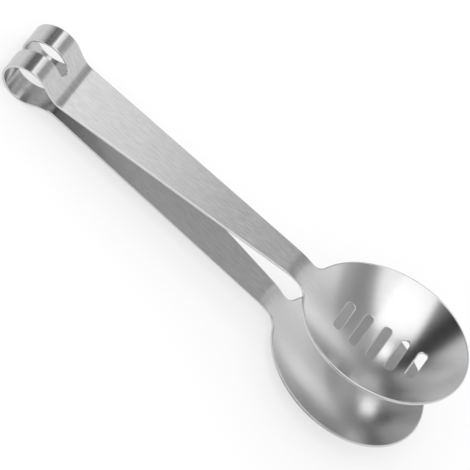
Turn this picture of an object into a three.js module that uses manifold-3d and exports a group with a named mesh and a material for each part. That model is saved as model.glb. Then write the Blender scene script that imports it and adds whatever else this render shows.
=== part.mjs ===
// Tea bag tongs: one strip of sheet steel, turned round into a sprung eye, with a spoon bowl pressed
// into each end. Millimetres, +X from the eye towards the bowls, +Z up, as the tongs lie on a table.
import * as THREE from "three";
import { mergeVertices } from "three/addons/utils/BufferGeometryUtils.js";
import Module from "manifold-3d";

// The strip.
const sheetThickness = 0.9;
const eyeStripWidth = 18.8; // round the eye
const armEndWidth = 8.3; // at the back of the bowl's oval

// The sprung eye, and the neck where the two arms are drawn together.
const eyeBore = 14; // inner diameter
const eyeSlotWidth = 4; // splits the eye into two bands
const eyeSlotEndReach = 3.2; // from where the eye's curve ends to the tip of the slot's round end
const neckClearance = 1.7; // from the eye's outside to the corner of the neck bends
const neckGap = 3.8; // at that corner, between the planes of the arms' inner faces
const neckBendRadius = 8; // to the middle of the sheet

// The arms: their slope off the centre line, and their length from the neck's corner to mid bowl.
const upperArmDegrees = 4.25;
const lowerArmDegrees = -6.94;
const upperArmLength = 116.4;
const lowerArmLength = 118.6;

// The bowls, both pressed by one tool, and both hollow on their upper side.
const bowlLength = 53.2;
const bowlWidth = 42.2;
const bowlDepth = 7.8;
const bowlNoseShare = 0.02; // how much the oval widens towards its tip
const rimRise = 1.45; // the rim's middle over the arm's plane
const rimTiltDegrees = 7.2; // tip up, from the arm
const shoulderRadius = 4; // in the outline, where the arm widens into the bowl
const creaseHeight = 2.2; // over which the arm's plane rounds off into the dish
const creaseFrontShare = 0.75; // of the half length: in front of it the dish is plain

// The row of drain slots across the upper bowl.
const drainSlotWidth = 2.8;
const drainSlotLength = 13; // the longest
const drainSlotPitch = 6.4;
const drainLengthShares = [0.8, 0.95, 1, 0.95, 0.8];
const cutOverrun = 1; // past both faces

// Facets.
const eyeSteps = 30;
const bendSteps = 6;
const shoulderSteps = 5;
const ovalSteps = 22;
const bowlColumns = 16;
const slotEndSteps = 8; // in half a turn

// The searches: rounds of halving, and the step over which a bowl's slope is taken.
const searchHalvings = 40;
const slopeStep = 0.005;

const wasm = await Module();
wasm.setup();

const steel = { color: 0xb9babb, metalness: 1 };
const brushedSteel = new THREE.MeshStandardMaterial({ ...steel, name: "brushed_steel", roughness: 0.34 });
const satinSteel = new THREE.MeshStandardMaterial({ ...steel, name: "satin_steel", roughness: 0.24 });

// Derived sizes of the eye and the neck, all to the middle of the sheet and from the eye's centre.
const halfSheet = sheetThickness / 2;
const eyeRadius = eyeBore / 2 + halfSheet;
const neckReach = eyeRadius + halfSheet + neckClearance;
const neckHeight = neckGap / 2 + halfSheet;
const neckDistance = Math.hypot(neckReach, neckHeight);
const flankLength = Math.sqrt(neckDistance ** 2 - eyeRadius ** 2);
// Where the straight flank touches the eye's circle, as an angle from +X.
const tangentAngle = Math.atan2(neckHeight, neckReach) + Math.acos(eyeRadius / neckDistance);
const flankSlope = Math.PI / 2 - tangentAngle;
// The seam between a band and its arm crosses the flank where the slot's round end begins.
const seamRun = eyeSlotEndReach - eyeSlotWidth / 2;

// Derived sizes of a bowl, in its rim's frame: u towards the tip, v across, w out of the rim.
const halfLength = bowlLength / 2;
const halfWidth = bowlWidth / 2;
const rimTilt = THREE.MathUtils.degToRad(rimTiltDegrees);
const creaseU = creaseStart();

// A closed solid of a geometry, with its shared corners merged and empty triangles dropped.
function solidOf(geometry) {
  const bare = geometry.clone();
  bare.deleteAttribute("normal");
  bare.deleteAttribute("uv");
  const merged = mergeVertices(bare);
  const corners = merged.index.array;
  const triangles = [];
  for (let i = 0; i < corners.length; i += 3) {
    const [a, b, c] = [corners[i], corners[i + 1], corners[i + 2]];
    if (a !== b && b !== c && c !== a) triangles.push(a, b, c);
  }
  const vertProperties = merged.attributes.position.array;
  const triVerts = new Uint32Array(triangles);
  return new wasm.Manifold(new wasm.Mesh({ numProp: 3, vertProperties, triVerts }));
}

function meshOf(name, solid, material) {
  const { vertProperties, triVerts } = solid.getMesh();
  const geometry = new THREE.BufferGeometry();
  geometry.setAttribute("position", new THREE.BufferAttribute(new Float32Array(vertProperties), 3));
  geometry.setIndex(new THREE.BufferAttribute(new Uint32Array(triVerts), 1));
  geometry.computeVertexNormals();
  const mesh = new THREE.Mesh(geometry, material);
  mesh.name = name;
  return mesh;
}

// The body of a formed sheet. Each row runs across the strip and holds the middle and the normal of
// the sheet at each column; along the rows, then across the columns, turns about the normal.
function formedSheet(rows) {
  const columns = rows[0].length;
  const positions = [];
  for (const { middle, normal } of rows.flat()) {
    for (const side of [halfSheet, -halfSheet]) {
      positions.push(...middle.clone().addScaledVector(normal, side).toArray());
    }
  }
  const top = (row, column) => 2 * (row * columns + column);
  const bottom = (row, column) => top(row, column) + 1;
  const index = [];
  const quad = (a, b, c, d) => index.push(a, b, c, a, c, d);
  const lastRow = rows.length - 1;
  const lastColumn = columns - 1;
  for (let i = 0; i < lastRow; i++) {
    for (let j = 0; j < lastColumn; j++) {
      quad(top(i, j), top(i + 1, j), top(i + 1, j + 1), top(i, j + 1));
      quad(bottom(i, j), bottom(i, j + 1), bottom(i + 1, j + 1), bottom(i + 1, j));
    }
    quad(bottom(i, 0), bottom(i + 1, 0), top(i + 1, 0), top(i, 0));
    quad(top(i, lastColumn), top(i + 1, lastColumn), bottom(i + 1, lastColumn), bottom(i, lastColumn));
  }
  for (let j = 0; j < lastColumn; j++) {
    quad(top(0, j), top(0, j + 1), bottom(0, j + 1), bottom(0, j));
    quad(bottom(lastRow, j), bottom(lastRow, j + 1), top(lastRow, j + 1), top(lastRow, j));
  }
  const geometry = new THREE.BufferGeometry();
  geometry.setAttribute("position", new THREE.Float32BufferAttribute(positions, 3));
  geometry.setIndex(index);
  return solidOf(geometry);
}

// The side view of a bent strip, as stations of place, heading and run from the eye's curve.
function bentStrip(x, z, heading, run) {
  const stations = [{ x, z, heading, run }];
  const last = () => stations[stations.length - 1];
  const strip = {
    stations,
    straight(length) {
      const from = last();
      stations.push({
        x: from.x + length * Math.cos(from.heading),
        z: from.z + length * Math.sin(from.heading),
        heading: from.heading,
        run: from.run + length,
      });
      return strip;
    },
    bend(radius, turn, steps) {
      const from = last();
      const hand = Math.sign(turn);
      const centreX = from.x - hand * radius * Math.sin(from.heading);
      const centreZ = from.z + hand * radius * Math.cos(from.heading);
      for (let i = 1; i <= steps; i++) {
        const heading = from.heading + (turn * i) / steps;
        stations.push({
          x: centreX + hand * radius * Math.sin(heading),
          z: centreZ - hand * radius * Math.cos(heading),
          heading,
          run: from.run + (radius * Math.abs(turn) * i) / steps,
        });
      }
      return strip;
    },
  };
  return strip;
}

// One station of a bent strip as a row of the sheet, from one edge to the other.
function stripRow({ x, z, heading }, edges) {
  const normal = new THREE.Vector3(-Math.sin(heading), 0, Math.cos(heading));
  return edges.map((y) => ({ middle: new THREE.Vector3(x, y, z), normal }));
}

// The crease starts where the arm's plane comes within the rounding's height of the dish's surface.
function creaseStart() {
  const bulge = bowlDepth / halfLength ** 2;
  const slope = Math.tan(rimTilt);
  const drop = bowlDepth - rimRise / Math.cos(rimTilt) + creaseHeight;
  return -(slope + Math.sqrt(slope ** 2 + 4 * bulge * drop)) / (2 * bulge);
}

// The height of the sheet over the rim's plane: an oval dish that rounds off into the arm's plane.
function bladeHeight(u, v) {
  const across = v / (halfWidth * (1 + (bowlNoseShare * u) / halfLength));
  const dish = bowlDepth * ((u / halfLength) ** 2 + across ** 2 - 1);
  const behind = (-u / halfLength - creaseFrontShare) / (1 - creaseFrontShare);
  if (behind <= 0) return dish;
  const arm = -u * Math.tan(rimTilt) - rimRise / Math.cos(rimTilt);
  const rounding = creaseHeight * Math.min(behind, 1);
  const overlap = Math.max(rounding - Math.abs(arm - dish), 0);
  return Math.min(arm, dish) - overlap ** 2 / (4 * rounding);
}

function bladePoint(u, v) {
  const riseU = bladeHeight(u + slopeStep, v) - bladeHeight(u - slopeStep, v);
  const riseV = bladeHeight(u, v + slopeStep) - bladeHeight(u, v - slopeStep);
  return {
    middle: new THREE.Vector3(u, v, bladeHeight(u, v)),
    normal: new THREE.Vector3(-riseU, -riseV, 2 * slopeStep).normalize(),
  };
}

// A point of the bowl's oval, and the outward direction there.
function ovalPoint(angle) {
  const nose = 1 + bowlNoseShare * Math.cos(angle);
  const alongU = -halfLength * Math.sin(angle);
  const alongV = halfWidth * (Math.cos(angle) * nose - bowlNoseShare * Math.sin(angle) ** 2);
  return {
    place: new THREE.Vector2(halfLength * Math.cos(angle), halfWidth * Math.sin(angle) * nose),
    outward: new THREE.Vector2(alongV, -alongU).normalize(),
  };
}

// Half the outline of a blade from its crease to its tip, as points of u and half width: the arm's
// straight edge, the shoulder's arc and the oval.
function bladeOutline(taper) {
  const edgeAt = (u) => armEndWidth / 2 - taper * (u + halfLength);
  const edgeNormal = new THREE.Vector2(taper, 1).normalize();
  const shoulderCentre = (angle) => {
    const { place, outward } = ovalPoint(angle);
    return place.addScaledVector(outward, shoulderRadius);
  };
  // Between the oval's back and its side, the shoulder's circle touches the arm's edge once.
  let [back, side] = [Math.PI, Math.PI / 2];
  for (let i = 0; i < searchHalvings; i++) {
    const middle = (back + side) / 2;
    const centre = shoulderCentre(middle);
    const clear = (centre.y - edgeAt(centre.x)) * edgeNormal.y - shoulderRadius;
    if (clear < 0) back = middle;
    else side = middle;
  }
  const centre = shoulderCentre(side);
  const outline = [new THREE.Vector2(creaseU, edgeAt(creaseU))];
  const foot = centre.clone().addScaledVector(edgeNormal, -shoulderRadius);
  const straightSteps = Math.ceil((foot.x - creaseU) / shoulderRadius) + 1;
  for (let i = 1; i < straightSteps; i++) {
    outline.push(outline[0].clone().lerp(foot, i / straightSteps));
  }
  const from = Math.atan2(-edgeNormal.y, -edgeNormal.x);
  const { outward } = ovalPoint(side);
  const to = Math.atan2(-outward.y, -outward.x);
  for (let i = 0; i < shoulderSteps; i++) {
    const angle = from + ((to - from) * i) / shoulderSteps;
    const spoke = new THREE.Vector2(Math.cos(angle), Math.sin(angle));
    outline.push(centre.clone().addScaledVector(spoke, shoulderRadius));
  }
  for (let i = 0; i < ovalSteps; i++) outline.push(ovalPoint(side * (1 - i / ovalSteps)).place);
  outline.push(new THREE.Vector2(halfLength, 0));
  return outline;
}

// The stations and sizes of one jaw: side is 1 for the upper one and -1 for the lower one.
function jawLayout(side, armDegrees, armLength) {
  const armSlope = THREE.MathUtils.degToRad(armDegrees);
  const flankHeading = -side * flankSlope;
  const turn = armSlope - flankHeading;
  const tangentLength = neckBendRadius * Math.tan(Math.abs(turn) / 2);
  const start = { x: eyeRadius * Math.cos(tangentAngle), z: side * eyeRadius * Math.sin(tangentAngle) };
  const strip = bentStrip(
    start.x + seamRun * Math.cos(flankHeading),
    start.z + seamRun * Math.sin(flankHeading),
    flankHeading,
    seamRun,
  )
    .straight(flankLength - seamRun - tangentLength)
    .bend(neckBendRadius, turn, bendSteps);
  // The rim's frame: its middle stands over the arm's plane, and it tilts up towards the tip.
  const rim = new THREE.Matrix4()
    .makeTranslation(neckReach, 0, side * neckHeight)
    .multiply(new THREE.Matrix4().makeRotationY(-armSlope))
    .multiply(new THREE.Matrix4().makeTranslation(armLength, 0, rimRise))
    .multiply(new THREE.Matrix4().makeRotationY(-rimTilt));
  const bend = strip.stations[strip.stations.length - 1];
  const ovalBack = new THREE.Vector3(-halfLength, 0, bladeHeight(-halfLength, 0)).applyMatrix4(rim);
  const ovalBackRun = bend.run + Math.hypot(ovalBack.x - bend.x, ovalBack.z - bend.z);
  const taper = (eyeStripWidth - armEndWidth) / 2 / ovalBackRun;
  const halfWidthAt = (run) => eyeStripWidth / 2 - taper * run;
  return { stations: strip.stations, rim, taper, halfWidthAt };
}

function bladeRows(jaw) {
  return bladeOutline(jaw.taper).map((edge) => {
    const row = [];
    for (let j = 0; j <= bowlColumns; j++) {
      row.push(bladePoint(edge.x, edge.y * ((2 * j) / bowlColumns - 1)));
    }
    return row;
  });
}

// A tool for the drain slots, in the rim's frame: prisms with round ends, from under the dish up.
function drainTool() {
  const reach = bowlDepth + sheetThickness + cutOverrun;
  const endRadius = drainSlotWidth / 2;
  const middle = (drainLengthShares.length - 1) / 2;
  const prisms = drainLengthShares.map((share, i) => {
    const endPlace = (drainSlotLength * share) / 2 - endRadius;
    const shape = new THREE.Shape();
    shape.absarc(0, endPlace, endRadius, 0, Math.PI);
    shape.absarc(0, -endPlace, endRadius, Math.PI, 2 * Math.PI);
    const prism = new THREE.ExtrudeGeometry(shape, {
      depth: reach + cutOverrun,
      bevelEnabled: false,
      curveSegments: slotEndSteps,
    });
    return solidOf(prism.translate((i - middle) * drainSlotPitch, 0, -reach));
  });
  return prisms.reduce((all, prism) => all.add(prism));
}

// A bowl, with the last of its arm, turned from the rim's frame into the tongs' frame.
function makeBowl(name, jaw, tool) {
  let bowl = formedSheet(bladeRows(jaw));
  if (tool) bowl = bowl.subtract(tool);
  const mesh = meshOf(name, bowl, satinSteel);
  mesh.geometry.applyMatrix4(jaw.rim);
  return mesh;
}

// An arm: from the seam on its flank, with the round end of the eye's slot, to its bowl's crease.
function makeArm(name, jaw) {
  const rows = jaw.stations.map((station) => {
    const edge = jaw.halfWidthAt(station.run);
    return stripRow(station, [-edge, edge]);
  });
  const crease = bladeRows(jaw)[0];
  rows.push(
    [crease[0], crease[bowlColumns]].map(({ middle, normal }) => ({
      middle: middle.applyMatrix4(jaw.rim),
      normal: normal.transformDirection(jaw.rim),
    })),
  );
  const seam = jaw.stations[0];
  const endRadius = eyeSlotWidth / 2;
  const punchLength = sheetThickness + 2 * cutOverrun;
  const punch = new THREE.CylinderGeometry(endRadius, endRadius, punchLength, 2 * slotEndSteps)
    .rotateX(Math.PI / 2)
    .rotateY(-seam.heading)
    .translate(seam.x, 0, seam.z);
  return meshOf(name, formedSheet(rows).subtract(solidOf(punch)), brushedSteel);
}

// One band of the eye, on one side of its slot, from the lower seam round the back to the upper one.
function makeBand(name, lowerJaw, upperJaw, side) {
  const seam = lowerJaw.stations[0];
  const eyeTurn = 2 * Math.PI - 2 * tangentAngle;
  const { stations } = bentStrip(seam.x, seam.z, seam.heading + Math.PI, -seamRun)
    .straight(seamRun)
    .bend(eyeRadius, -eyeTurn, eyeSteps)
    .straight(seamRun);
  const lastStation = stations.length - 1;
  const edgeOf = (i) => {
    if (i === 0) return lowerJaw.halfWidthAt(seamRun);
    if (i === lastStation) return upperJaw.halfWidthAt(seamRun);
    return eyeStripWidth / 2;
  };
  const rows = stations.map((station, i) => {
    const edges = [side * eyeSlotWidth / 2, side * edgeOf(i)];
    return stripRow(station, edges.sort((a, b) => a - b));
  });
  return meshOf(name, formedSheet(rows), brushedSteel);
}

// The lowest point of a mesh once the tongs are tipped up by an angle about the eye's axis.
function lowestPoint(mesh, angle) {
  const { position } = mesh.geometry.attributes;
  let lowest = Infinity;
  for (let i = 0; i < position.count; i++) {
    lowest = Math.min(lowest, position.getX(i) * Math.sin(angle) + position.getZ(i) * Math.cos(angle));
  }
  return lowest;
}

// On a table the tongs stand on the eye and on the lower bowl, which this angle brings level.
function restingAngle(eyeBand, bowl) {
  let [low, high] = [0, Math.PI / 4];
  for (let i = 0; i < searchHalvings; i++) {
    const middle = (low + high) / 2;
    if (lowestPoint(bowl, middle) < lowestPoint(eyeBand, middle)) low = middle;
    else high = middle;
  }
  return low;
}

const upperJaw = jawLayout(1, upperArmDegrees, upperArmLength);
const lowerJaw = jawLayout(-1, lowerArmDegrees, lowerArmLength);
const leftBand = makeBand("left_spring_band", lowerJaw, upperJaw, 1);
const rightBand = makeBand("right_spring_band", lowerJaw, upperJaw, -1);
const lowerBowl = makeBowl("lower_bowl", lowerJaw, null);

const strip = new THREE.Group();
strip.add(leftBand, rightBand);
strip.add(makeArm("upper_arm", upperJaw), makeBowl("upper_bowl", upperJaw, drainTool()));
strip.add(makeArm("lower_arm", lowerJaw), lowerBowl);
strip.rotation.y = -restingAngle(leftBand, lowerBowl);

// The origin is on the table, under the middle of the tongs.
const tongs = new THREE.Group();
tongs.add(strip);
const box = new THREE.Box3().setFromObject(tongs, true);
const middle = box.getCenter(new THREE.Vector3());
strip.position.set(-middle.x, -middle.y, -box.min.z);

export default tongs;
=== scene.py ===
"""Tea bag tongs: the looks of one bent strip of brushed steel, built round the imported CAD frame."""

import math

import bmesh
import bpy
import numpy as np
from mathutils import Matrix, Vector
from mathutils.geometry import delaunay_2d_cdt


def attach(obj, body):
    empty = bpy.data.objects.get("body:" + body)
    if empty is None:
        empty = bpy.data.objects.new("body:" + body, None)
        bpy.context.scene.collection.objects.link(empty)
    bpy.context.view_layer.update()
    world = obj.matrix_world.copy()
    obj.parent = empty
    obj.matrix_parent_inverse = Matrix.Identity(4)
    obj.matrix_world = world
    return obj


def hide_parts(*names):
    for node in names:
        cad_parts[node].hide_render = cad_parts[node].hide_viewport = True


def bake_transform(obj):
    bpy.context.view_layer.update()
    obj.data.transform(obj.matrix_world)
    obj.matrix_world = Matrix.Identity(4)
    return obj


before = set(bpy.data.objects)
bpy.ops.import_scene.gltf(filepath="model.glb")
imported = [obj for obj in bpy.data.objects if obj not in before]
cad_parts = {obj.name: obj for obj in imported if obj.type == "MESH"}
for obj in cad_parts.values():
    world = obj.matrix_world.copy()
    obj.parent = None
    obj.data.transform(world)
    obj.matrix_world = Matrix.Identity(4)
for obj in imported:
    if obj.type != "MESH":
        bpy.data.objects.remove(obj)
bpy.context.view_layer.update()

# The strip's sizes, as in the CAD, in millimetres.
SHEET = 0.9
EYE_STRIP_WIDTH = 18.8
ARM_END_WIDTH = 8.3
EYE_BORE = 14.0
EYE_SLOT_WIDTH = 4.0
EYE_SLOT_END_REACH = 3.2
NECK_CLEARANCE = 1.7
NECK_GAP = 3.8
NECK_BEND_RADIUS = 8.0
BOWL_LENGTH = 53.2
BOWL_WIDTH = 42.2
BOWL_DEPTH = 7.8
BOWL_NOSE_SHARE = 0.02
RIM_RISE = 1.45
RIM_TILT = math.radians(7.2)
SHOULDER_RADIUS = 4.0
CREASE_HEIGHT = 2.2
CREASE_FRONT_SHARE = 0.75
DRAIN_SLOT_WIDTH = 2.8
DRAIN_SLOT_LENGTH = 13.0
DRAIN_SLOT_PITCH = 6.4
DRAIN_LENGTH_SHARES = (0.8, 0.95, 1.0, 0.95, 0.8)
# Each arm's slope in degrees, and its length from the neck to the middle of the bowl's rim.
UPPER_ARM = (4.25, 116.4)
LOWER_ARM = (-6.94, 118.6)
# How the strip lies on the table: the eye's centre in X and Z, and the tip up about it.
EYE_CENTRE = (-73.58487, 7.89963)
RESTING_ANGLE = math.radians(7.11183)

# The sheet's edges are rounded in the looks only. The map of an edge runs over this many radians.
EDGE_RADIUS = 0.3
EDGE_STEPS = 4
EDGE_MAP_TURN = 3.2

# How far apart the mesh's points are, along the strip or across it. The bowl's rows lie a little closer.
EYE_STEP = 0.42
EYE_STEP_ACROSS = 0.9
BEND_STEP = 0.3
ARM_STEP = 2.2
ARM_STEP_ACROSS = 1.6
BOWL_STEP = 0.7
BOWL_ROW_SHARE = 0.87
DRAIN_SLOT_STEP = 0.4
# The bowl's fine mesh starts this far before the crease.
BOWL_LEAD = 1
# The grid reaches past the bowls' sides, and keeps clear of the edges' own points and of the seams.
GRID_MARGIN = 2
OUTER_CLEARANCE = EDGE_RADIUS + 0.3
HOLE_CLEARANCE = EDGE_RADIUS + 0.25
SEAM_CLEARANCE = 0.2
# A point this near a seam lies on it, and two points this near each other are one.
ON_SEAM = 0.02
MERGE_DISTANCE = 1e-7
# Slopes are measured over twice this length.
SLOPE_REACH = 0.005
# The crease's rounding is divided by, so at least this share of it is left.
LEAST_ROUNDING = 1e-6
# How often the shoulder's place is halved, and in how many lots points are tested.
HALVINGS = 40
LOTS = 24

# The strip's map: one unit is this many millimetres, and the middle of the eye's back lies here.
MAP_LENGTH = 100
MAP_MIDDLE = (2.0, 0.5)

# The brushed steel. Each noise has its length and width in millimetres, its detail, and its own place.
FINE_STREAK = (2.6, 0.25, 2, 0.3)
COARSE_STREAK = (6.0, 0.5, 3, 3.1)
CLOUD = (12.0, 7.0, 2, 7.7)
NOISE_ROUGHNESS = 0.6
NOISE_MIDDLE = 0.5
NOISE_RANGE = (0.3, 0.7)
FINE_SHARE = 0.5
QUARTER_TURN = 0.25
GRAIN_ANISOTROPY = 0.83
GRAIN_STRENGTH = 0.2
GRAIN_DEPTH = 0.00001
GRAIN_TONE = 0.06
GRAIN_ROUGHNESS = 0.03
CLOUD_ROUGHNESS = 0.01
STEEL_TONE = 0.56
STEEL_ROUGHNESS = 0.22
EDGE_TONE = 0.64
EDGE_ROUGHNESS = 0.26
# Between these edge marks the sheet's brushed face turns into its tumbled edge.
EDGE_FADE = (0.3, 0.9)
# The grain's share left in the bowls, and where it falls to that, in the map's units from the eye's back.
BOWL_GRAIN_SHARE = 0.25
BOWL_FADE = (1.06, 1.18)

# The floor, in metres. The camera and the metal see it whitened by a share, and the studio lights what
# isn't metal at the ambient level.
FLOOR_REACH = 6.0
FLOOR_GAP = 0.00003
FLOOR_TONE = 0.88
FLOOR_WHITENING = 0.6
AMBIENT = 0.8

# What the metal sees. The ceilings' levels go by degrees round Y, from the eye's side through straight up
# to the bowls' side, and the back wall's by the ray's direction in X. They join by its direction in Y.
# The near ceiling's bands open towards the camera by the spread.
NEAR_CEILING = (
    (-180, 0.93), (-75, 1.0), (-60, 1.0), (-56, 0.04), (-42, 0.03), (-32, 0.25), (0, 0.35), (11, 0.38),
    (20, 0.55), (29, 0.95), (180, 0.93),
)
NEAR_SPREAD = 0.7
FAR_CEILING = (
    (-180, 0.93), (-100, 0.95), (-82, 0.8), (-72, 0.52), (-62, 0.25), (-54, 0.06), (-46, 0.02), (-40, 0.06),
    (-33, 0.22), (-24, 0.3), (-14, 0.48), (-8, 0.54), (5, 0.42), (20, 0.5), (40, 0.65), (65, 0.65),
    (82, 0.95), (180, 0.93),
)
BACK_WALL = (
    (-0.6, 0.7), (-0.45, 0.5), (-0.3, 0.18), (-0.2, 0.28), (-0.1, 0.48), (0, 0.66), (0.15, 0.9),
    (0.35, 1.08),
)
CEILING_JOIN = (0.1, 0.5)
WALL_JOIN = (0.72, 0.87)
# Each soft box: its middle and its size in metres, its turn about Z in degrees, and its level.
SOFT_BOXES = (
    ((-0.205, -0.22, 0.6), (0.36, 0.78), 3, 1.6),
    ((0.015, -0.27, 0.6), (0.2, 0.6), 24, 1.3),
    ((-0.77, 1.4, 1.5), (0.3, 1.2), 10, 1.12),
    ((-0.24, 0.5, 0.6), (0.18, 0.5), 16, 0.8),
    ((0.6, 0.75, 0.3), (1.1, 1.4), 8, 0.3),
    ((-0.17, 0.22, 0.15), (0.18, 0.16), 0, 0.5),
)

# The camera, fitted to the photograph: its place in metres, and where its right and its back point.
SENSOR_WIDTH = 36.0
FOCAL_LENGTH = 450.81
CLIPPING = (0.05, 50.0)
CAMERA_PLACE = (-0.343869, -0.961204, 1.391950)
CAMERA_RIGHT = (0.692091, 0.498613, 0.521915)
CAMERA_BACK = (-0.201236, -0.561108, 0.802908)

# What follows from the sizes. Angles round the eye start at the neck's side. The seams between bands and
# arms are where the slot's ends start to round.
HALF_SHEET = SHEET / 2
HALF_LENGTH = BOWL_LENGTH / 2
HALF_WIDTH = BOWL_WIDTH / 2
EYE_RADIUS = EYE_BORE / 2 + HALF_SHEET
NECK_REACH = EYE_RADIUS + HALF_SHEET + NECK_CLEARANCE
NECK_HEIGHT = NECK_GAP / 2 + HALF_SHEET
NECK_DISTANCE = math.hypot(NECK_REACH, NECK_HEIGHT)
FLANK_LENGTH = math.sqrt(NECK_DISTANCE**2 - EYE_RADIUS**2)
TANGENT_ANGLE = math.atan2(NECK_HEIGHT, NECK_REACH) + math.acos(EYE_RADIUS / NECK_DISTANCE)
FLANK_SLOPE = math.pi / 2 - TANGENT_ANGLE
EYE_HALF_ARC = EYE_RADIUS * (math.pi - TANGENT_ANGLE)
SEAM_RUN = EYE_SLOT_END_REACH - EYE_SLOT_WIDTH / 2
SEAM = EYE_HALF_ARC + SEAM_RUN


def evenly(first, last, step):
    """Places from the first up to the last, without it, no more than a step apart."""
    return np.linspace(first, last, max(2, math.ceil((last - first) / step) + 1))[:-1]


def turn_y(angle, p):
    """Points (n, 3) turned about Y, with +X towards +Z for a positive angle."""
    c, s = math.cos(angle), math.sin(angle)
    return np.stack([p[:, 0] * c - p[:, 2] * s, p[:, 1], p[:, 0] * s + p[:, 2] * c], 1)


def left_of(heading):
    """The direction to the left of a heading in the X-Z plane."""
    return np.array([-math.sin(heading), math.cos(heading)])


def blade_height(u, v):
    """The sheet's height over the rim's plane: an oval dish that rounds off into the arm's plane.
    From the rim's middle, u runs along the bowl towards its tip and v across it."""
    across = v / (HALF_WIDTH * (1 + BOWL_NOSE_SHARE * u / HALF_LENGTH))
    dish = BOWL_DEPTH * ((u / HALF_LENGTH) ** 2 + across**2 - 1)
    arm = -u * math.tan(RIM_TILT) - RIM_RISE / math.cos(RIM_TILT)
    behind = (-u / HALF_LENGTH - CREASE_FRONT_SHARE) / (1 - CREASE_FRONT_SHARE)
    rounding = CREASE_HEIGHT * np.clip(behind, LEAST_ROUNDING, 1)
    overlap = np.maximum(rounding - np.abs(arm - dish), 0)
    rounded = np.minimum(arm, dish) - overlap**2 / (4 * rounding)
    return np.where(behind <= 0, dish, rounded)


def crease_start():
    """Where along u the arm's plane starts to round off into the dish."""
    bulge = BOWL_DEPTH / HALF_LENGTH**2
    slope = math.tan(RIM_TILT)
    drop = BOWL_DEPTH - RIM_RISE / math.cos(RIM_TILT) + CREASE_HEIGHT
    return -(slope + math.sqrt(slope**2 + 4 * bulge * drop)) / (2 * bulge)


CREASE_U = crease_start()


def oval(angle):
    """A place on the bowl's outline, in u and v, and the outward direction there."""
    nose = 1 + BOWL_NOSE_SHARE * math.cos(angle)
    du = -HALF_LENGTH * math.sin(angle)
    dv = HALF_WIDTH * (math.cos(angle) * nose - BOWL_NOSE_SHARE * math.sin(angle) ** 2)
    out = np.array([dv, -du]) / math.hypot(du, dv)
    return np.array([HALF_LENGTH * math.cos(angle), HALF_WIDTH * math.sin(angle) * nose]), out


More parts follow.
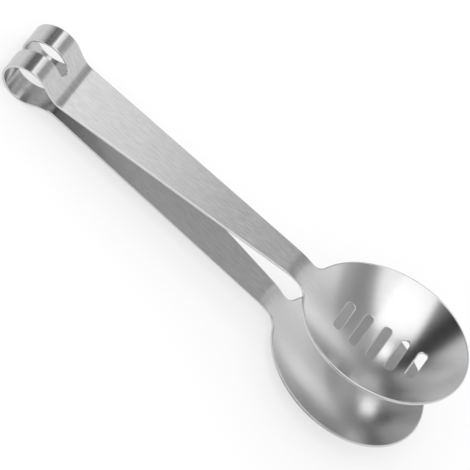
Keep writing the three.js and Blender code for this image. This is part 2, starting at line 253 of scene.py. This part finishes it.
class Jaw:
    """One half of the strip, from the eye's tangent line to the bowl's tip. Its side is 1 above and -1
    below, its hand is 1 where the neck bends to the left, and its runs start at the tangent line."""

    def __init__(self, side, arm):
        self.side = side
        self.slope, self.length = math.radians(arm[0]), arm[1]
        self.heading = -side * FLANK_SLOPE
        turn = self.slope - self.heading
        self.hand = math.copysign(1, turn)
        self.flank = FLANK_LENGTH - NECK_BEND_RADIUS * math.tan(abs(turn) / 2)
        self.bend_end = self.flank + NECK_BEND_RADIUS * abs(turn)
        along = np.array([math.cos(self.heading), math.sin(self.heading)])
        tangent = EYE_RADIUS * np.array([math.cos(TANGENT_ANGLE), side * math.sin(TANGENT_ANGLE)])
        reach = self.hand * NECK_BEND_RADIUS
        self.bend_centre = tangent + self.flank * along + reach * left_of(self.heading)
        arm_from = self.bend_centre - reach * left_of(self.slope)

        def run_to(u):
            """The run at a place on the middle line of the arm's end."""
            place, _ = self.blade(np.array([u]), np.array([0.0]))
            return self.bend_end + math.hypot(place[0, 0] - arm_from[0], place[0, 2] - arm_from[1])

        self.crease_run = run_to(CREASE_U)
        self.taper = (EYE_STRIP_WIDTH - ARM_END_WIDTH) / 2 / run_to(-HALF_LENGTH)

    def blade(self, u, v):
        """Middle and upward normal of the bowl's sheet, in the strip's frame."""
        rise_u = blade_height(u + SLOPE_REACH, v) - blade_height(u - SLOPE_REACH, v)
        rise_v = blade_height(u, v + SLOPE_REACH) - blade_height(u, v - SLOPE_REACH)
        n = np.stack([-rise_u, -rise_v, np.full(len(u), 2 * SLOPE_REACH)], 1)
        n /= np.linalg.norm(n, axis=1)[:, None]
        p = turn_y(RIM_TILT, np.stack([u, v, blade_height(u, v)], 1)) + [self.length, 0, RIM_RISE]
        p = turn_y(self.slope, p) + [NECK_REACH, 0, self.side * NECK_HEIGHT]
        return p, turn_y(self.slope, turn_y(RIM_TILT, n))

    def sheet(self, run, y):
        """Middle and upward normal of the sheet at each run from the eye's tangent line."""
        p, n = self.blade(run - self.crease_run + CREASE_U, y)
        along = np.clip(run - self.flank, 0, self.bend_end - self.flank)
        heading = self.heading + self.hand * along / NECK_BEND_RADIUS
        flat = np.stack([-np.sin(heading), np.zeros(len(run)), np.cos(heading)], 1)
        x = self.bend_centre[0] + self.hand * NECK_BEND_RADIUS * np.sin(heading)
        z = self.bend_centre[1] - self.hand * NECK_BEND_RADIUS * np.cos(heading)
        over = run - self.flank - along
        x, z = x + over * np.cos(heading), z + over * np.sin(heading)
        arm = run < self.crease_run
        p[arm] = np.stack([x, y, z], 1)[arm]
        n[arm] = flat[arm]
        return p, n

    def stretches(self):
        """Where each stretch up to the bowl's mesh starts and ends, and its steps along and across."""
        return (
            (0, SEAM_RUN, EYE_STEP, EYE_STEP_ACROSS),
            (SEAM_RUN, self.flank, EYE_STEP, EYE_STEP_ACROSS),
            (self.flank, self.bend_end, BEND_STEP, EYE_STEP_ACROSS),
            (self.bend_end, self.crease_run - BOWL_LEAD, ARM_STEP, ARM_STEP_ACROSS),
        )

    def outline(self):
        """Half the outline from the tangent line to the tip: run, half width, outward direction."""
        out = np.array([self.taper, 1.0]) / math.hypot(self.taper, 1)
        rows = []
        for first, last, step, _ in self.stretches():
            for run in evenly(first, last, step):
                rows.append((run, EYE_STRIP_WIDTH / 2 - self.taper * run, *out))
        shift = self.crease_run - CREASE_U
        rows += [(u + shift, *rest) for u, *rest in self.bowl_outline(out)]
        return np.array(rows)

    def bowl_outline(self, arm_out):
        """The rest of the outline, with u in place of the run: the arm's edge, the shoulder, the oval."""

        def edge(u):
            """Half the arm's width at u."""
            return ARM_END_WIDTH / 2 - self.taper * (u + HALF_LENGTH)

        # The shoulder's arc touches the arm's edge and the oval, where its place is found by halving.
        behind, beside = math.pi, math.pi / 2
        for _ in range(HALVINGS):
            middle = (behind + beside) / 2
            place, out = oval(middle)
            centre = place + SHOULDER_RADIUS * out
            if (centre[1] - edge(centre[0])) * arm_out[1] < SHOULDER_RADIUS:
                behind = middle
            else:
                beside = middle
        place, out = oval(beside)
        centre = place + SHOULDER_RADIUS * out
        foot = centre - SHOULDER_RADIUS * arm_out
        rows = [(u, edge(u), *arm_out) for u in evenly(CREASE_U - BOWL_LEAD, foot[0], BOWL_STEP)]
        start, end = (math.atan2(-v, -u) for u, v in (arm_out, out))
        steps = math.ceil(abs(end - start) * SHOULDER_RADIUS / (BOWL_STEP / 2))
        for i in range(steps):
            angle = start + (end - start) * i / steps
            spoke = np.array([math.cos(angle), math.sin(angle)])
            rows.append((*(centre + SHOULDER_RADIUS * spoke), *-spoke))
        steps = math.ceil(beside * (HALF_LENGTH + HALF_WIDTH) / 2 / BOWL_STEP)
        for i in range(steps):
            place, out = oval(beside * (1 - i / steps))
            rows.append((*place, *out))
        rows.append((HALF_LENGTH, 0, 1, 0))
        return rows


UPPER, LOWER = Jaw(1, UPPER_ARM), Jaw(-1, LOWER_ARM)


def sheet(s, y):
    """Middle and outward normal at each place of the flat blank: s runs from the lower bowl's tip
    through the middle of the eye's back (0) to the upper bowl's tip, and y across."""
    p, n = np.zeros((len(s), 3)), np.zeros((len(s), 3))
    up, down = s > EYE_HALF_ARC, s < -EYE_HALF_ARC
    eye = ~(up | down)
    angle = math.pi - s[eye] / EYE_RADIUS
    n[eye] = np.stack([np.cos(angle), 0 * angle, np.sin(angle)], 1)
    p[eye] = n[eye] * EYE_RADIUS + np.stack([0 * angle, y[eye], 0 * angle], 1)
    if up.any():
        p[up], n[up] = UPPER.sheet(s[up] - EYE_HALF_ARC, y[up])
    if down.any():
        q, m = LOWER.sheet(-s[down] - EYE_HALF_ARC, y[down])
        p[down], n[down] = q, -m
    return p, n


def lie(p):
    """From the strip's frame, in millimetres, to the table's, in metres."""
    return (turn_y(RESTING_ANGLE, p) + [EYE_CENTRE[0], 0, EYE_CENTRE[1]]) / 1000


def stadium(length, width, step, centre, along_s):
    """A hole with round ends as rows of s, y and the direction into the hole, clockwise."""
    radius, reach = width / 2, length / 2 - width / 2
    rows = []
    arc = math.ceil(math.pi * radius / step)
    for end in (1, -1):
        for i in range(arc + 1):
            angle = math.pi * i / arc + (0 if end > 0 else math.pi)
            c, s = math.cos(angle), math.sin(angle)
            rows.append((radius * c, end * reach + radius * s, -c, -s))
        steps = math.ceil(2 * reach / step)
        for i in range(1, steps):
            rows.append((-end * radius, end * reach * (1 - 2 * i / steps), end, 0))
    rows.reverse()
    if along_s:
        return np.array([(centre + b, -a, d, -c) for a, b, c, d in rows])
    return np.array([(centre + a, b, c, d) for a, b, c, d in rows])


def blank_loops():
    """The blank's outer edge, counter-clockwise, and then its holes, clockwise."""
    back = evenly(-EYE_HALF_ARC, EYE_HALF_ARC, EYE_STEP)[1:]
    eye = np.stack([back, np.full(len(back), EYE_STRIP_WIDTH / 2), 0 * back, 0 * back + 1], 1)
    upper = UPPER.outline() + [EYE_HALF_ARC, 0, 0, 0]
    lower = LOWER.outline() * [-1, 1, -1, 1] - [EYE_HALF_ARC, 0, 0, 0]
    half = np.concatenate([lower[::-1], eye, upper])
    other = (half * [1, -1, 1, -1])[1:-1]
    loops = [np.concatenate([other, half[::-1]])]
    slot_length = 2 * (EYE_HALF_ARC + EYE_SLOT_END_REACH)
    loops.append(stadium(slot_length, EYE_SLOT_WIDTH, EYE_STEP, 0, True))
    middle = (len(DRAIN_LENGTH_SHARES) - 1) / 2
    for i, share in enumerate(DRAIN_LENGTH_SHARES):
        at = UPPER.crease_run + EYE_HALF_ARC - CREASE_U + (i - middle) * DRAIN_SLOT_PITCH
        loops.append(stadium(DRAIN_SLOT_LENGTH * share, DRAIN_SLOT_WIDTH, DRAIN_SLOT_STEP, at, False))
    return loops


def inside(points, loop):
    """Which points lie in a closed polygon."""
    x, y = points[:, 0][:, None], points[:, 1][:, None]
    a, b = loop, np.roll(loop, -1, 0)
    spans = (a[:, 1] > y) != (b[:, 1] > y)
    with np.errstate(divide="ignore", invalid="ignore"):
        cross = (b[:, 0] - a[:, 0]) * (y - a[:, 1]) / (b[:, 1] - a[:, 1]) + a[:, 0]
    return ((x < cross) & spans).sum(1) % 2 == 1


def in_blank(points, loops):
    """Which points lie inside the first polygon and in none of the others."""
    good = inside(points, loops[0])
    for hole in loops[1:]:
        good &= ~inside(points, hole)
    return good


def clearance(points, loop):
    """Each point's distance from a closed polygon's edge."""
    d = np.roll(loop, -1, 0) - loop
    t = ((points[:, None] - loop) * d).sum(2) / (d**2).sum(1)
    near = loop + np.clip(t, 0, 1)[..., None] * d
    return np.sqrt(((points[:, None] - near) ** 2).sum(2)).min(1)


def in_lots(test, points):
    """A test's answers for many points, taken a lot at a time."""
    return np.concatenate([test(lot) for lot in np.array_split(points, LOTS)])


def grid_points(loops):
    """Places inside the blank, about as far apart as the form there needs."""
    rows = []

    def fill(places, step):
        """Adds a row across the strip at each place, every other one moved by half a step."""
        reach = HALF_WIDTH + GRID_MARGIN
        for k, s in enumerate(places):
            y = np.arange(-reach, reach, step) + (step / 2 if k % 2 else 0)
            rows.append(np.stack([np.full(len(y), s), y], 1))

    for jaw in (UPPER, LOWER):
        tip = jaw.crease_run - CREASE_U + HALF_LENGTH
        bowl = (jaw.crease_run - BOWL_LEAD, tip, BOWL_STEP * BOWL_ROW_SHARE, BOWL_STEP)
        for first, last, step, across in (*jaw.stretches(), bowl):
            fill(jaw.side * (EYE_HALF_ARC + evenly(first, last, step)), across)
    fill(evenly(-EYE_HALF_ARC, EYE_HALF_ARC, EYE_STEP)[1:], EYE_STEP_ACROSS)

    def free(lot):
        """Which places lie inside the blank and clear of its edges and seams."""
        good = in_blank(lot, loops) & (clearance(lot, loops[0]) > OUTER_CLEARANCE)
        for hole in loops[1:]:
            good &= clearance(lot, hole) > HOLE_CLEARANCE
        return good & (np.abs(np.abs(lot[:, 0]) - SEAM) > SEAM_CLEARANCE)

    points = np.concatenate(rows)
    return points[in_lots(free, points)]


def flat_mesh(loops, grid):
    """A triangle mesh of the flat blank, with lines along both seams: its points, its triangles,
    counter-clockwise, and the numbers of each loop's points."""
    firsts = np.cumsum([0] + [len(loop) for loop in loops]).tolist()
    edges = []
    for first, loop in zip(firsts, loops):
        edges += [(first + i, first + (i + 1) % len(loop)) for i in range(len(loop))]
    rims = np.concatenate(loops)
    # Each seam crosses a band from the slot's edge to the outer one.
    for s in (-SEAM, SEAM):
        for side in (1, -1):
            on_seam = (np.abs(rims[:, 0] - s) < ON_SEAM) & (side * rims[:, 1] > 0)
            numbers = sorted(np.nonzero(on_seam)[0].tolist(), key=lambda i: abs(rims[i, 1]))
            edges.append((numbers[0], numbers[-1]))
    given = [Vector(p) for p in np.concatenate([rims, grid])]
    points, _, faces, origins, *_ = delaunay_2d_cdt(given, edges, [], 0, MERGE_DISTANCE)
    points = np.array([tuple(p) for p in points])
    triangles = np.array([face for face in faces if len(face) == 3])
    triangles = triangles[in_lots(lambda lot: in_blank(lot, loops), points[triangles].mean(1))]
    a, b, c = (points[triangles[:, i]] for i in range(3))
    turned = np.cross(b - a, c - a) < 0
    triangles[turned] = triangles[turned][:, ::-1]
    number_of = {given_number: i for i, origin in enumerate(origins) for given_number in origin}
    rim_numbers = [
        np.array([number_of[first + i] for i in range(len(loop))]) for first, loop in zip(firsts, loops)
    ]
    return points, triangles, rim_numbers


class Strip:
    """The mesh of the bent strip, in its own frame, with each point's place on the flat blank and a
    mark from 0 on the sheet's faces to 1 on its edges."""

    def __init__(self):
        self.places, self.normals = np.zeros((0, 3)), np.zeros((0, 3))
        self.blank, self.mark = np.zeros((0, 2)), np.zeros(0)
        self.faces = []

    def add(self, places, normals, blank, mark):
        """Adds points that share one mark, and returns their numbers."""
        first = len(self.places)
        self.places = np.concatenate([self.places, places])
        self.normals = np.concatenate([self.normals, normals])
        self.blank = np.concatenate([self.blank, blank])
        self.mark = np.concatenate([self.mark, np.full(len(places), mark)])
        return np.arange(first, len(self.places))

    def round_edge(self, loop, inset):
        """Adds rows of points round an edge, from the strip's outside in, and returns their numbers."""
        middle, normal = sheet(inset[:, 0], inset[:, 1])
        edge, _ = sheet(loop[:, 0], loop[:, 1])
        out = edge - middle
        out -= normal * (out * normal).sum(1)[:, None]
        reach = np.linalg.norm(out, axis=1)[:, None]
        out /= reach
        angles = [math.pi / 2 * i / EDGE_STEPS for i in range(1, EDGE_STEPS + 1)]
        rows = []
        for angle, side in [(a, 1) for a in angles] + [(a, -1) for a in angles[::-1]]:
            lift = HALF_SHEET - EDGE_RADIUS + EDGE_RADIUS * math.cos(angle)
            places = middle + normal * (side * lift) + out * reach * math.sin(angle)
            normals = normal * (side * math.cos(angle)) + out * math.sin(angle)
            blank = inset + loop[:, 2:] * EDGE_RADIUS * (angle if side > 0 else EDGE_MAP_TURN - angle)
            rows.append(self.add(places, normals, blank, math.sin(angle)))
        return rows


def build_strip():
    """The whole strip: the blank's mesh on the sheet's outside and inside, joined round its edges."""
    loops = blank_loops()
    insets = [loop[:, :2] - loop[:, 2:] * EDGE_RADIUS for loop in loops]
    flat, triangles, rims = flat_mesh(insets, grid_points([loop[:, :2] for loop in loops]))
    middle, normal = sheet(flat[:, 0], flat[:, 1])
    made = Strip()
    outside = made.add(middle + normal * HALF_SHEET, normal, flat, 0)
    within = made.add(middle - normal * HALF_SHEET, -normal, flat, 0)
    made.faces += [tuple(t) for t in outside[triangles]] + [tuple(t[::-1]) for t in within[triangles]]
    for loop, inset, rim in zip(loops, insets, rims):
        rows = [outside[rim], *made.round_edge(loop, inset), within[rim]]
        for row, following in zip(rows, rows[1:]):
            for i in range(len(loop)):
                j = (i + 1) % len(loop)
                made.faces.append((row[j], row[i], following[i], following[j]))
    return made


def make_piece(name, whole, chosen, material):
    """A closed mesh of the strip's chosen faces, with the sheet's true normals."""
    faces = [whole.faces[f] for f in chosen]
    used = sorted({i for face in faces for i in face})
    renumber = {old: new for new, old in enumerate(used)}
    places = [tuple(p) for p in lie(whole.places[used])]
    mesh = bpy.data.meshes.new(name)
    mesh.from_pydata(places, [], [[renumber[i] for i in face] for face in faces])
    work = bmesh.new()
    work.from_mesh(mesh)
    cuts = [edge for edge in work.edges if edge.is_boundary]
    bmesh.ops.holes_fill(work, edges=cuts, sides=0)
    work.to_mesh(mesh)
    work.free()
    mesh.validate()
    normals = turn_y(RESTING_ANGLE, whole.normals[used])
    normals /= np.linalg.norm(normals, axis=1)[:, None]
    strip_map = mesh.uv_layers.new(name="strip")
    corner = np.zeros(len(mesh.loops), np.int32)
    mesh.loops.foreach_get("vertex_index", corner)
    map_places = whole.blank[used][corner] / MAP_LENGTH + MAP_MIDDLE
    strip_map.data.foreach_set("uv", map_places.astype(np.float32).ravel())
    mark = mesh.attributes.new("sheared_edge", "FLOAT", "POINT")
    mark.data.foreach_set("value", whole.mark[used].astype(np.float32))
    mesh.polygons.foreach_set("use_smooth", np.ones(len(mesh.polygons), bool))
    mesh.normals_split_custom_set_from_vertices([tuple(n) for n in normals])
    mesh.materials.append(material)
    piece = bpy.data.objects.new(name, mesh)
    bpy.context.scene.collection.objects.link(piece)
    return piece


class Nodes:
    """Short ways to add nodes to one node tree."""

    def __init__(self, tree):
        self.tree = tree

    def set(self, socket, value):
        """Links a socket to another, or gives it a constant."""
        if isinstance(value, bpy.types.NodeSocket):
            self.tree.links.new(value, socket)
        else:
            socket.default_value = value

    def add(self, kind, **inputs):
        """Adds a node and sets its inputs by name, with underscores for spaces."""
        made = self.tree.nodes.new(kind)
        for name, value in inputs.items():
            self.set(made.inputs[name.replace("_", " ")], value)
        return made

    def math(self, operation, *values):
        """One operation on one or two values."""
        made = self.tree.nodes.new("ShaderNodeMath")
        made.operation = operation
        for socket, value in zip(made.inputs, values):
            self.set(socket, value)
        return made.outputs[0]

    def spread(self, value, low, high, to_low=0.0, to_high=1.0):
        """A value's range stretched to another range, within which it stays."""
        made = self.add(
            "ShaderNodeMapRange", Value=value, From_Min=low, From_Max=high, To_Min=to_low, To_Max=to_high
        )
        return made.outputs["Result"]

    def mix(self, kind, factor, first, second):
        """Two numbers or two colours mixed. Each kind has its own input sockets."""
        made = self.tree.nodes.new("ShaderNodeMix")
        made.data_type = kind
        sockets = {"FLOAT": (0, 2, 3), "RGBA": (0, 6, 7)}[kind]
        for index, value in zip(sockets, (factor, first, second)):
            self.set(made.inputs[index], value)
        return made.outputs["Result"]

    def ramp(self, value, stops):
        """Grey levels that ease from one place to the next."""
        made = self.add("ShaderNodeValToRGB", Fac=value)
        ramp = made.color_ramp
        ramp.interpolation = "EASE"
        while len(ramp.elements) < len(stops):
            ramp.elements.new(0.5)
        for element, (place, level) in zip(ramp.elements, stops):
            element.position = place
            element.color = (level, level, level, 1)
        return made.outputs["Color"]


def brushed_steel():
    """Stainless sheet, brushed along the strip, with tumbled edges."""
    material = bpy.data.materials.new("brushed_stainless_steel")
    material.use_nodes = True
    nodes = Nodes(material.node_tree)
    shader = material.node_tree.nodes["Principled BSDF"]
    shader.inputs["Metallic"].default_value = 1.0
    shader.inputs["Anisotropic"].default_value = GRAIN_ANISOTROPY
    shader.inputs["Anisotropic Rotation"].default_value = QUARTER_TURN
    tangent = nodes.add("ShaderNodeTangent")
    tangent.direction_type = "UV_MAP"
    tangent.uv_map = "strip"
    nodes.set(shader.inputs["Tangent"], tangent.outputs[0])
    place = nodes.add("ShaderNodeUVMap")
    place.uv_map = "strip"

    def streaks(length, width, detail, start):
        """Noise drawn out along the strip, with streaks of about this length and width."""
        scale = nodes.add("ShaderNodeMapping", Vector=place.outputs[0])
        scale.inputs["Scale"].default_value = (MAP_LENGTH / length, MAP_LENGTH / width, 1)
        scale.inputs["Location"].default_value = (start, start, 0)
        noise = nodes.add("ShaderNodeTexNoise", Vector=scale.outputs[0], Scale=1.0, Detail=detail)
        noise.inputs["Roughness"].default_value = NOISE_ROUGHNESS
        noise.noise_dimensions = "2D"
        return noise.outputs["Fac"]

    fine = nodes.math("MULTIPLY", streaks(*FINE_STREAK), FINE_SHARE)
    coarse = nodes.math("MULTIPLY", streaks(*COARSE_STREAK), 1 - FINE_SHARE)
    grain = nodes.math("SUBTRACT", nodes.math("ADD", fine, coarse), NOISE_MIDDLE)
    # The bowls are pressed and polished over, so the brushing is weaker there than along the arms.
    split = nodes.add("ShaderNodeSeparateXYZ", Vector=place.outputs[0])
    away = nodes.math("ABSOLUTE", nodes.math("SUBTRACT", split.outputs["X"], MAP_MIDDLE[0]))
    weight = nodes.spread(away, *BOWL_FADE, 1.0, BOWL_GRAIN_SHARE)
    grain = nodes.math("ADD", nodes.math("MULTIPLY", grain, weight), NOISE_MIDDLE)
    mark = nodes.add("ShaderNodeAttribute")
    mark.attribute_name = "sheared_edge"
    edge = nodes.spread(mark.outputs["Fac"], *EDGE_FADE)

    # The grain shows in the tone, the roughness and the relief. The edges have none in the first two.
    tone = nodes.spread(grain, *NOISE_RANGE, STEEL_TONE - GRAIN_TONE, STEEL_TONE + GRAIN_TONE)
    nodes.set(shader.inputs["Base Color"], nodes.mix("FLOAT", edge, tone, EDGE_TONE))
    brushing = (STEEL_ROUGHNESS - GRAIN_ROUGHNESS, STEEL_ROUGHNESS + GRAIN_ROUGHNESS)
    clouding = nodes.spread(streaks(*CLOUD), *NOISE_RANGE, -CLOUD_ROUGHNESS, CLOUD_ROUGHNESS)
    rough = nodes.math("ADD", nodes.spread(grain, *NOISE_RANGE, *brushing), clouding)
    nodes.set(shader.inputs["Roughness"], nodes.mix("FLOAT", edge, rough, EDGE_ROUGHNESS))
    bump = nodes.add("ShaderNodeBump", Strength=GRAIN_STRENGTH, Distance=GRAIN_DEPTH, Height=grain)
    nodes.set(shader.inputs["Normal"], bump.outputs["Normal"])
    return material


def pale_floor():
    """A pale floor, which keeps a faint shadow of the tongs and whitens for the camera and the metal."""
    mesh = bpy.data.meshes.new("floor")
    corners = [(x * FLOOR_REACH, y * FLOOR_REACH, 0) for x, y in ((-1, -1), (1, -1), (1, 1), (-1, 1))]
    mesh.from_pydata(corners, [], [(0, 1, 2, 3)])
    floor = bpy.data.objects.new("floor", mesh)
    floor.location.z = -FLOOR_GAP
    bpy.context.scene.collection.objects.link(floor)
    paper = bpy.data.materials.new("pale_paper")
    paper.use_nodes = True
    tree = paper.node_tree
    nodes = Nodes(tree)
    tree.nodes.remove(tree.nodes["Principled BSDF"])
    sheet_of_paper = nodes.add("ShaderNodeBsdfDiffuse", Color=(FLOOR_TONE, FLOOR_TONE, FLOOR_TONE, 1))
    white = nodes.add("ShaderNodeEmission", Color=(1, 1, 1, 1), Strength=1.0)
    path = nodes.add("ShaderNodeLightPath")
    seen = nodes.math("ADD", path.outputs["Is Camera Ray"], path.outputs["Is Glossy Ray"])
    both = nodes.add("ShaderNodeMixShader")
    nodes.set(both.inputs[0], nodes.math("MULTIPLY", seen, FLOOR_WHITENING))
    nodes.set(both.inputs[1], sheet_of_paper.outputs[0])
    nodes.set(both.inputs[2], white.outputs[0])
    nodes.set(tree.nodes["Material Output"].inputs["Surface"], both.outputs[0])
    mesh.materials.append(paper)


def surround():
    """A white surround. The metal sees two ceilings, dark on the eye's side, and a back wall."""
    world = bpy.data.worlds.new("studio")
    bpy.context.scene.world = world
    world.use_nodes = True
    nodes = Nodes(world.node_tree)
    direction = nodes.add("ShaderNodeTexCoord")
    split = nodes.add("ShaderNodeSeparateXYZ", Vector=direction.outputs["Generated"])
    x, y, z = (split.outputs[axis] for axis in "XYZ")

    def ceiling(sideways, levels):
        """Grey levels by the direction's angle round Y."""
        angle = nodes.spread(nodes.math("ARCTAN2", sideways, z), -math.pi, math.pi)
        return nodes.ramp(angle, [(degrees / 360 + 0.5, level) for degrees, level in levels])

    opening = nodes.math("ADD", nodes.math("MULTIPLY", y, NEAR_SPREAD), 1.0)
    near = ceiling(nodes.math("MULTIPLY", x, opening), NEAR_CEILING)
    both = nodes.mix("RGBA", nodes.spread(y, *CEILING_JOIN), near, ceiling(x, FAR_CEILING))
    wall = nodes.ramp(nodes.spread(x, -1.0, 1.0), [(place / 2 + 0.5, level) for place, level in BACK_WALL])
    shown = nodes.mix("RGBA", nodes.spread(y, *WALL_JOIN), both, wall)
    path = nodes.add("ShaderNodeLightPath")
    ambient, white = (AMBIENT, AMBIENT, AMBIENT, 1), (1, 1, 1, 1)
    plain = nodes.mix("RGBA", path.outputs["Is Camera Ray"], ambient, white)
    light = nodes.mix("RGBA", path.outputs["Is Glossy Ray"], plain, shown)
    nodes.set(world.node_tree.nodes["Background"].inputs["Color"], light)


def soft_boxes():
    """Soft boxes that face straight down, each as bright as its level. They show in the metal."""
    for place, size, turn, level in SOFT_BOXES:
        lamp = bpy.data.lights.new("soft_box", "AREA")
        lamp.shape = "RECTANGLE"
        lamp.size, lamp.size_y = size
        lamp.energy = level * math.pi * lamp.size * lamp.size_y
        box = bpy.data.objects.new("soft_box", lamp)
        bpy.context.scene.collection.objects.link(box)
        box.location = place
        box.rotation_euler.z = math.radians(turn)


def camera():
    """The photograph's camera: a long lens, far off."""
    data = bpy.data.cameras.new("camera")
    data.sensor_width = SENSOR_WIDTH
    data.lens = FOCAL_LENGTH
    data.clip_start, data.clip_end = CLIPPING
    eye = bpy.data.objects.new("camera", data)
    bpy.context.scene.collection.objects.link(eye)
    back = Vector(CAMERA_BACK).normalized()
    up = back.cross(Vector(CAMERA_RIGHT).normalized()).normalized()
    axes = Matrix((up.cross(back), up, back)).transposed()
    eye.matrix_world = Matrix.Translation(CAMERA_PLACE) @ axes.to_4x4()
    bpy.context.scene.camera = eye


bpy.context.scene.view_settings.view_transform = "Standard"
camera()
pale_floor()
surround()
soft_boxes()

strip = build_strip()
steel = brushed_steel()
middles = np.array([strip.blank[list(face)].mean(0) for face in strip.faces])
in_eye = np.abs(middles[:, 0]) <= SEAM
groups = {
    "upper_blade": middles[:, 0] > SEAM,
    "lower_blade": middles[:, 0] < -SEAM,
    "eye_band_left": in_eye & (middles[:, 1] > 0),
    "eye_band_right": in_eye & (middles[:, 1] < 0),
}
made = {name: make_piece(name, strip, np.nonzero(chosen)[0], steel) for name, chosen in groups.items()}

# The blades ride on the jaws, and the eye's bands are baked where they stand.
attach(made["upper_blade"], "upper_jaw")
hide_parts("upper_arm", "upper_bowl")
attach(made["lower_blade"], "lower_jaw")
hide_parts("lower_arm", "lower_bowl")
for side in ("left", "right"):
    band = made[f"eye_band_{side}"]
    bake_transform(band)
    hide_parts(f"{side}_spring_band")
